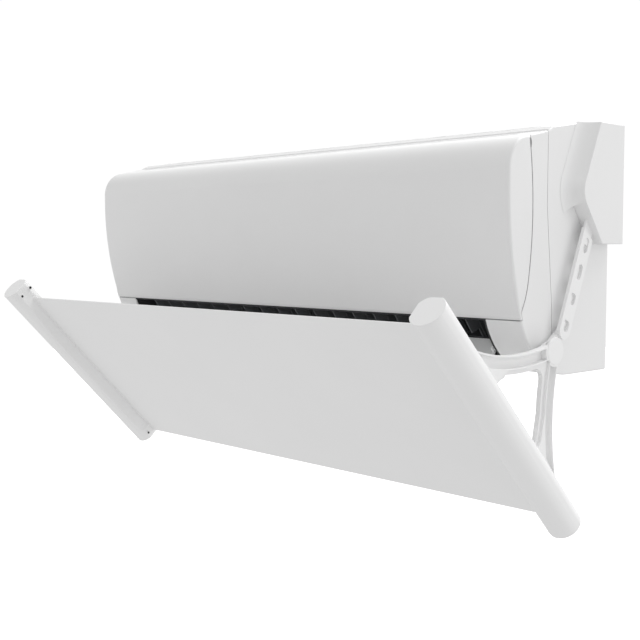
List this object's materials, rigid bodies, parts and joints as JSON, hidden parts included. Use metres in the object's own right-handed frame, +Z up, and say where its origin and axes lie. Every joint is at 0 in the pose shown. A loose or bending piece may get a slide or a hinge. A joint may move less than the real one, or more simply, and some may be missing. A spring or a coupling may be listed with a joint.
{
  "type": "wall air conditioner",
  "caption": "Wall-hung split air conditioner indoor unit with a hinged front panel, turning vanes, a louvre flap and a hanging wind deflector that tilts below the outlet.",
  "frame": {"origin": "centre of the wall plate's screw pattern, on the wall face of the plate", "axes": "+X to the viewer's right along the unit, +Y into the wall, +Z up; the front faces -Y"},
  "size_m": [0.927, 0.3915, 0.5035],
  "materials": {
    "casing_white": "satin",
    "deflector_white": "satin",
    "inner_grey": "matte",
    "flap_grey": "satin",
    "filter_mesh": "matte",
    "zinc_steel": "satin",
    "fin_aluminium": "satin",
    "copper": "polished",
    "brass_nut": "polished",
    "black_rubber": "matte",
    "board_green": "satin"
  },
  "bodies": {
    "casing": {"wall_plate": "zinc_steel", "rear_chassis": "casing_white", "side_cover_left": "casing_white", "side_cover_right": "casing_white", "front_frame": "casing_white", "top_grille": "casing_white", "coil_front": "fin_aluminium", "coil_rear": "fin_aluminium", "coil_bends": "copper", "tube_sheets": "fin_aluminium", "drain_pan": "flap_grey", "outlet_duct": "inner_grey", "fan_motor": "inner_grey", "fan_bearing": "black_rubber", "electrical_box": "flap_grey", "circuit_board": "board_green", "terminal_block": "black_rubber", "gas_pipe": "copper", "liquid_pipe": "copper", "flare_nuts": "brass_nut", "drain_spigot": "flap_grey", "flap_motor": "inner_grey", "strap_left": "deflector_white", "strap_right": "deflector_white", "strap_screws": "zinc_steel", "hub_carrier_left": "deflector_white", "hub_carrier_right": "deflector_white", "casing_screws": "zinc_steel"},
    "front_panel": {"front_panel": "casing_white"},
    "filter_left": {"filter_left": "filter_mesh"},
    "filter_right": {"filter_right": "filter_mesh"},
    "crossflow_fan": {"crossflow_fan": "inner_grey"},
    "louvre_flap": {"louvre_flap": "flap_grey"},
    "tie_bar_left": {"tie_bar_left": "inner_grey"},
    "tie_bar_right": {"tie_bar_right": "inner_grey"},
    "deflector": {"deflector_plate": "deflector_white", "rail_left": "deflector_white", "rail_right": "deflector_white", "rail_caps": "deflector_white", "rail_screws": "inner_grey", "bracket_left": "deflector_white", "bracket_right": "deflector_white"},
    "vane_01": {"vane_01": "inner_grey"},
    "vane_02": {"vane_02": "inner_grey"},
    "vane_03": {"vane_03": "inner_grey"},
    "vane_04": {"vane_04": "inner_grey"},
    "vane_05": {"vane_05": "inner_grey"},
    "vane_06": {"vane_06": "inner_grey"},
    "vane_07": {"vane_07": "inner_grey"},
    "vane_08": {"vane_08": "inner_grey"},
    "vane_09": {"vane_09": "inner_grey"},
    "vane_10": {"vane_10": "inner_grey"},
    "vane_11": {"vane_11": "inner_grey"},
    "vane_12": {"vane_12": "inner_grey"},
    "vane_13": {"vane_13": "inner_grey"},
    "vane_14": {"vane_14": "inner_grey"},
    "vane_15": {"vane_15": "inner_grey"},
    "vane_16": {"vane_16": "inner_grey"},
    "vane_17": {"vane_17": "inner_grey"},
    "vane_18": {"vane_18": "inner_grey"}
  },
  "joints": [
    {"name": "panel_hinge", "type": "hinge", "parent": "casing", "child": "front_panel", "pos_m": [0, -0.185, 0.1225], "axis": [-1, 0, 0], "range_deg": [0, 60]},
    {"name": "filter_left_slide", "type": "slide", "parent": "casing", "child": "filter_left", "axis": [0, 0.1616, 0.9869], "range_m": [0, 0.18]},
    {"name": "filter_right_slide", "type": "slide", "parent": "casing", "child": "filter_right", "axis": [0, 0.1616, 0.9869], "range_m": [0, 0.18]},
    {"name": "fan_spin", "type": "hinge", "parent": "casing", "child": "crossflow_fan", "pos_m": [0, -0.092, -0.024], "axis": [1, 0, 0], "continuous": true},
    {"name": "flap_hinge", "type": "hinge", "parent": "casing", "child": "louvre_flap", "pos_m": [0, -0.159, -0.12093], "axis": [-1, 0, 0], "range_deg": [0, 98]},
    {"name": "deflector_tilt", "type": "hinge", "parent": "casing", "child": "deflector", "pos_m": [0, -0.1493, -0.1199], "axis": [-1, 0, 0], "range_deg": [-30, 25]},
    {"name": "vane_bar_left", "type": "slide", "parent": "casing", "child": "tie_bar_left", "axis": [1, 0, 0], "range_m": [-0.0061, 0.0061]},
    {"name": "vane_01_turn", "type": "hinge", "parent": "casing", "child": "vane_01", "pos_m": [-0.3265, -0.13952, -0.10787], "axis": [0, -0.6115, 0.7912], "range_deg": [-30, 30]},
    {"name": "vane_02_turn", "type": "hinge", "parent": "casing", "child": "vane_02", "pos_m": [-0.2875, -0.13952, -0.10787], "axis": [0, -0.6115, 0.7912], "range_deg": [-30, 30]},
    {"name": "vane_03_turn", "type": "hinge", "parent": "casing", "child": "vane_03", "pos_m": [-0.2485, -0.13952, -0.10787], "axis": [0, -0.6115, 0.7912], "range_deg": [-30, 30]},
    {"name": "vane_04_turn", "type": "hinge", "parent": "casing", "child": "vane_04", "pos_m": [-0.2095, -0.13952, -0.10787], "axis": [0, -0.6115, 0.7912], "range_deg": [-30, 30]},
    {"name": "vane_05_turn", "type": "hinge", "parent": "casing", "child": "vane_05", "pos_m": [-0.1705, -0.13952, -0.10787], "axis": [0, -0.6115, 0.7912], "range_deg": [-30, 30]},
    {"name": "vane_06_turn", "type": "hinge", "parent": "casing", "child": "vane_06", "pos_m": [-0.1315, -0.13952, -0.10787], "axis": [0, -0.6115, 0.7912], "range_deg": [-30, 30]},
    {"name": "vane_07_turn", "type": "hinge", "parent": "casing", "child": "vane_07", "pos_m": [-0.0925, -0.13952, -0.10787], "axis": [0, -0.6115, 0.7912], "range_deg": [-30, 30]},
    {"name": "vane_08_turn", "type": "hinge", "parent": "casing", "child": "vane_08", "pos_m": [-0.0535, -0.13952, -0.10787], "axis": [0, -0.6115, 0.7912], "range_deg": [-30, 30]},
    {"name": "vane_09_turn", "type": "hinge", "parent": "casing", "child": "vane_09", "pos_m": [-0.0145, -0.13952, -0.10787], "axis": [0, -0.6115, 0.7912], "range_deg": [-30, 30]},
    {"name": "vane_bar_right", "type": "slide", "parent": "casing", "child": "tie_bar_right", "axis": [1, 0, 0], "range_m": [-0.0061, 0.0061]},
    {"name": "vane_10_turn", "type": "hinge", "parent": "casing", "child": "vane_10", "pos_m": [0.0245, -0.13952, -0.10787], "axis": [0, -0.6115, 0.7912], "range_deg": [-30, 30]},
    {"name": "vane_11_turn", "type": "hinge", "parent": "casing", "child": "vane_11", "pos_m": [0.0635, -0.13952, -0.10787], "axis": [0, -0.6115, 0.7912], "range_deg": [-30, 30]},
    {"name": "vane_12_turn", "type": "hinge", "parent": "casing", "child": "vane_12", "pos_m": [0.1025, -0.13952, -0.10787], "axis": [0, -0.6115, 0.7912], "range_deg": [-30, 30]},
    {"name": "vane_13_turn", "type": "hinge", "parent": "casing", "child": "vane_13", "pos_m": [0.1415, -0.13952, -0.10787], "axis": [0, -0.6115, 0.7912], "range_deg": [-30, 30]},
    {"name": "vane_14_turn", "type": "hinge", "parent": "casing", "child": "vane_14", "pos_m": [0.1805, -0.13952, -0.10787], "axis": [0, -0.6115, 0.7912], "range_deg": [-30, 30]},
    {"name": "vane_15_turn", "type": "hinge", "parent": "casing", "child": "vane_15", "pos_m": [0.2195, -0.13952, -0.10787], "axis": [0, -0.6115, 0.7912], "range_deg": [-30, 30]},
    {"name": "vane_16_turn", "type": "hinge", "parent": "casing", "child": "vane_16", "pos_m": [0.2585, -0.13952, -0.10787], "axis": [0, -0.6115, 0.7912], "range_deg": [-30, 30]},
    {"name": "vane_17_turn", "type": "hinge", "parent": "casing", "child": "vane_17", "pos_m": [0.2975, -0.13952, -0.10787], "axis": [0, -0.6115, 0.7912], "range_deg": [-30, 30]},
    {"name": "vane_18_turn", "type": "hinge", "parent": "casing", "child": "vane_18", "pos_m": [0.3365, -0.13952, -0.10787], "axis": [0, -0.6115, 0.7912], "range_deg": [-30, 30]}
  ],
  "couplings": [
    {"joint": "vane_01_turn", "follows": "vane_bar_left", "rad_per_m": -85.5},
    {"joint": "vane_02_turn", "follows": "vane_bar_left", "rad_per_m": -85.5},
    {"joint": "vane_03_turn", "follows": "vane_bar_left", "rad_per_m": -85.5},
    {"joint": "vane_04_turn", "follows": "vane_bar_left", "rad_per_m": -85.5},
    {"joint": "vane_05_turn", "follows": "vane_bar_left", "rad_per_m": -85.5},
    {"joint": "vane_06_turn", "follows": "vane_bar_left", "rad_per_m": -85.5},
    {"joint": "vane_07_turn", "follows": "vane_bar_left", "rad_per_m": -85.5},
    {"joint": "vane_08_turn", "follows": "vane_bar_left", "rad_per_m": -85.5},
    {"joint": "vane_09_turn", "follows": "vane_bar_left", "rad_per_m": -85.5},
    {"joint": "vane_10_turn", "follows": "vane_bar_right", "rad_per_m": -85.5},
    {"joint": "vane_11_turn", "follows": "vane_bar_right", "rad_per_m": -85.5},
    {"joint": "vane_12_turn", "follows": "vane_bar_right", "rad_per_m": -85.5},
    {"joint": "vane_13_turn", "follows": "vane_bar_right", "rad_per_m": -85.5},
    {"joint": "vane_14_turn", "follows": "vane_bar_right", "rad_per_m": -85.5},
    {"joint": "vane_15_turn", "follows": "vane_bar_right", "rad_per_m": -85.5},
    {"joint": "vane_16_turn", "follows": "vane_bar_right", "rad_per_m": -85.5},
    {"joint": "vane_17_turn", "follows": "vane_bar_right", "rad_per_m": -85.5},
    {"joint": "vane_18_turn", "follows": "vane_bar_right", "rad_per_m": -85.5}
  ]
}
